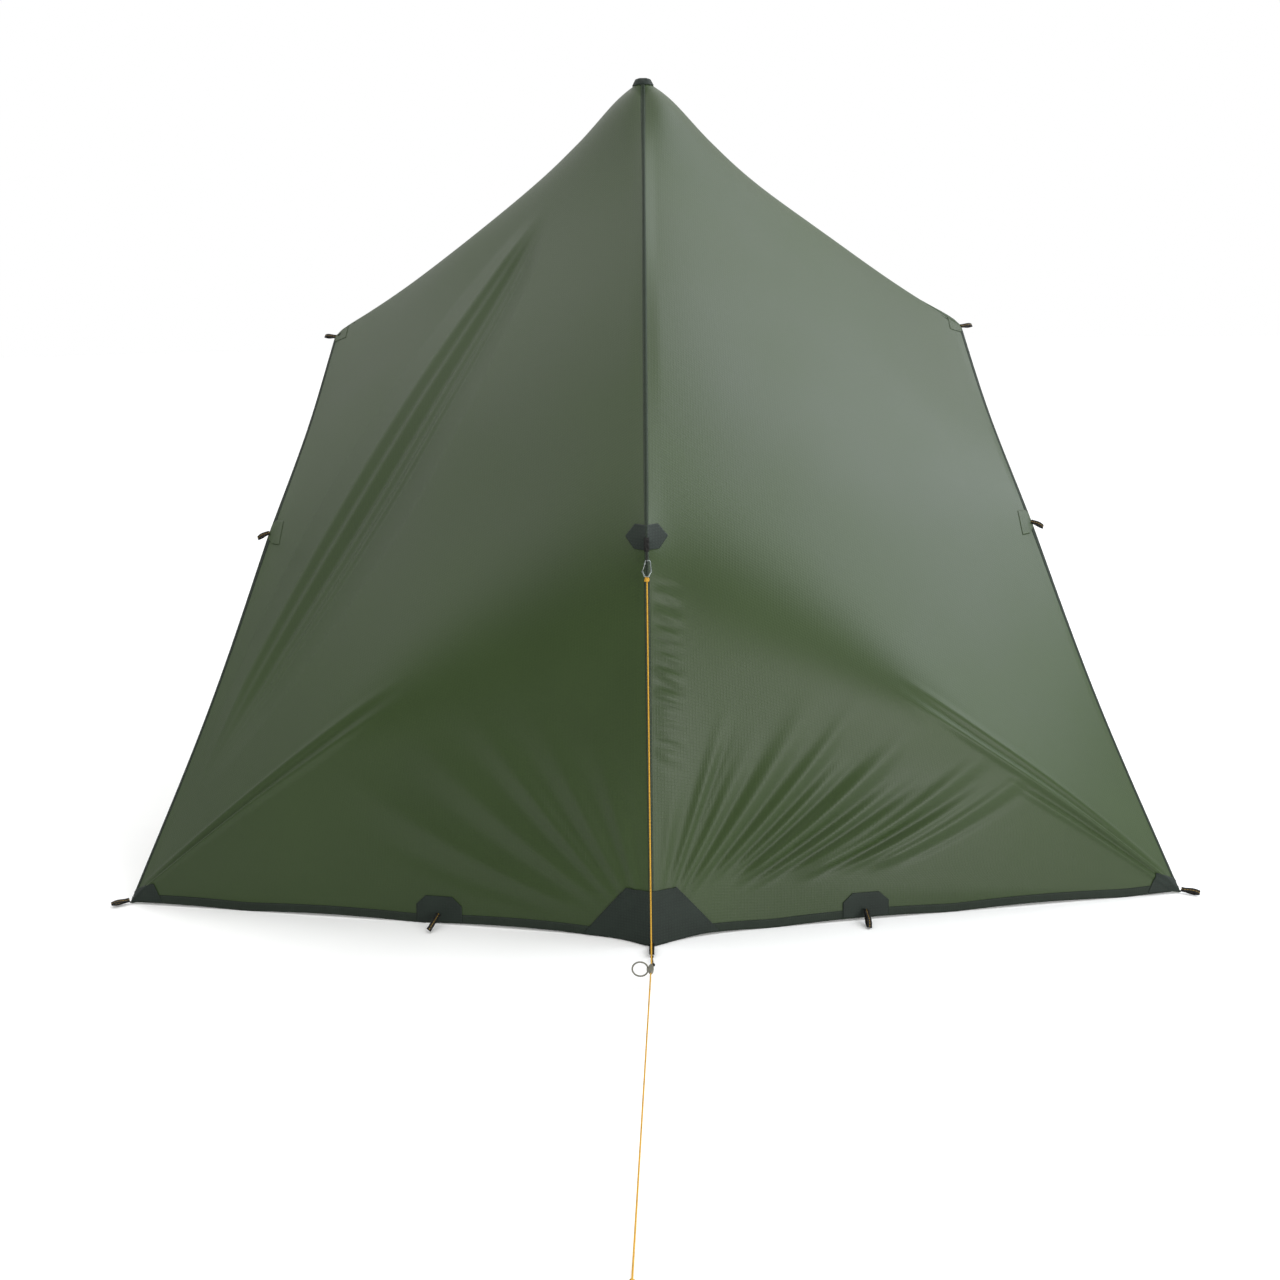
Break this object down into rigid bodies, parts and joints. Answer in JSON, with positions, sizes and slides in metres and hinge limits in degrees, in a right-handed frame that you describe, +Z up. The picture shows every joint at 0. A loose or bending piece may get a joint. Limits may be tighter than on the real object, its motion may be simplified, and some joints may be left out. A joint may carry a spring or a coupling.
{
  "type": "one-pole tarp shelter",
  "caption": "Green five-sided tarp shelter pitched over one telescopic pole, with a lifter, a carabiner, a taut guyline and webbing loops.",
  "frame": {"origin": "centre of the pole foot's sole, on the ground under the peak", "axes": "+Z up along the pole, +X to the right seen from the front, the closed front towards -Y and the open back towards +Y"},
  "size_m": [3.2976, 3.6981, 2.5178],
  "materials": {
    "canopy_cloth": "ripstop nylon, silicone coated, semi-gloss",
    "binding_tape": "woven polyester binding tape",
    "patch_cloth": "coated pack cloth",
    "webbing": "woven nylon webbing with a yellow tracer",
    "black_cord": "braided black cord",
    "carabiner_metal": "polished forged aluminium",
    "gate_wire": "bright stainless wire",
    "guyline_cord": "braided yellow cord",
    "tensioner_plastic": "moulded nylon, taupe grey",
    "ring_cord": "braided grey cord",
    "pole_aluminium": "anodised tube",
    "foot_rubber": "moulded rubber",
    "clamp_steel": "turned stainless steel",
    "cup_plastic": "moulded nylon",
    "pole_plastic": "glass-filled nylon"
  },
  "bodies": {
    "root": {"carabiner_body": "carabiner_metal", "clamp_collar": "pole_plastic", "clamp_pin": "clamp_steel", "clamp_screw": "clamp_steel", "elastic_cord": "black_cord", "elastic_knot_upper": "black_cord", "front_centre_loop": "webbing", "front_centre_patch": "patch_cloth", "front_corner_loop_left": "webbing", "front_corner_loop_right": "webbing", "front_corner_patch_left": "patch_cloth", "front_corner_patch_right": "patch_cloth", "front_hem_left": "binding_tape", "front_hem_loop_left": "webbing", "front_hem_loop_right": "webbing", "front_hem_right": "binding_tape", "front_loop_patch_left": "patch_cloth", "front_loop_patch_right": "patch_cloth", "guyline": "guyline_cord", "guyline_end_eye": "guyline_cord", "guyline_end_knot": "guyline_cord", "guyline_knot": "guyline_cord", "left_panel": "canopy_cloth", "lifter_cord_loop": "black_cord", "lifter_patch": "patch_cloth", "lifter_tab": "webbing", "peak_patch": "patch_cloth", "pole_foot": "foot_rubber", "pole_foot_plug": "pole_plastic", "pole_lower_tube": "pole_aluminium", "rear_centre_loop": "webbing", "rear_centre_patch": "patch_cloth", "rear_hem_left": "binding_tape", "rear_hem_right": "binding_tape", "right_panel": "canopy_cloth", "seam_tape_front": "binding_tape", "seam_tape_rear": "binding_tape", "side_hem_left": "binding_tape", "side_hem_right": "binding_tape", "side_loop_left": "webbing", "side_loop_patch_left": "patch_cloth", "side_loop_patch_right": "patch_cloth", "side_loop_right": "webbing", "upper_corner_loop_left": "webbing", "upper_corner_loop_right": "webbing", "upper_corner_patch_left": "patch_cloth", "upper_corner_patch_right": "patch_cloth"},
    "pole_upper": {"pole_upper_tube": "pole_aluminium", "pole_guide_plug": "pole_plastic", "pole_cap": "pole_plastic", "peak_cup": "cup_plastic"},
    "clamp_lever": {"clamp_lever": "pole_plastic"},
    "carabiner_gate": {"carabiner_gate": "gate_wire"},
    "line_tensioner": {"line_tensioner": "tensioner_plastic", "pull_ring": "ring_cord", "elastic_knot_lower": "black_cord"}
  },
  "joints": [
    {"name": "pole_extension", "type": "slide", "parent": "root", "child": "pole_upper", "axis": [0, 0, 1], "range_m": [-0.45, 0]},
    {"name": "clamp_lever_pivot", "type": "hinge", "parent": "root", "child": "clamp_lever", "pos_m": [0.0125, -0.026, 1.299], "axis": [0, 0, -1], "range_deg": [0, 100]},
    {"name": "carabiner_gate_pivot", "type": "hinge", "parent": "root", "child": "carabiner_gate", "pos_m": [-0.0054, -1.3954, 1.03982], "axis": [0, -0.9153, 0.4027], "range_deg": [0, 22], "stiffness_Nm_per_rad": 0.01, "springref_deg": -8.59},
    {"name": "tensioner_slide", "type": "slide", "parent": "root", "child": "line_tensioner", "axis": [-0.0297, -0.9986, -0.0445], "range_m": [0, 0.06]}
  ]
}
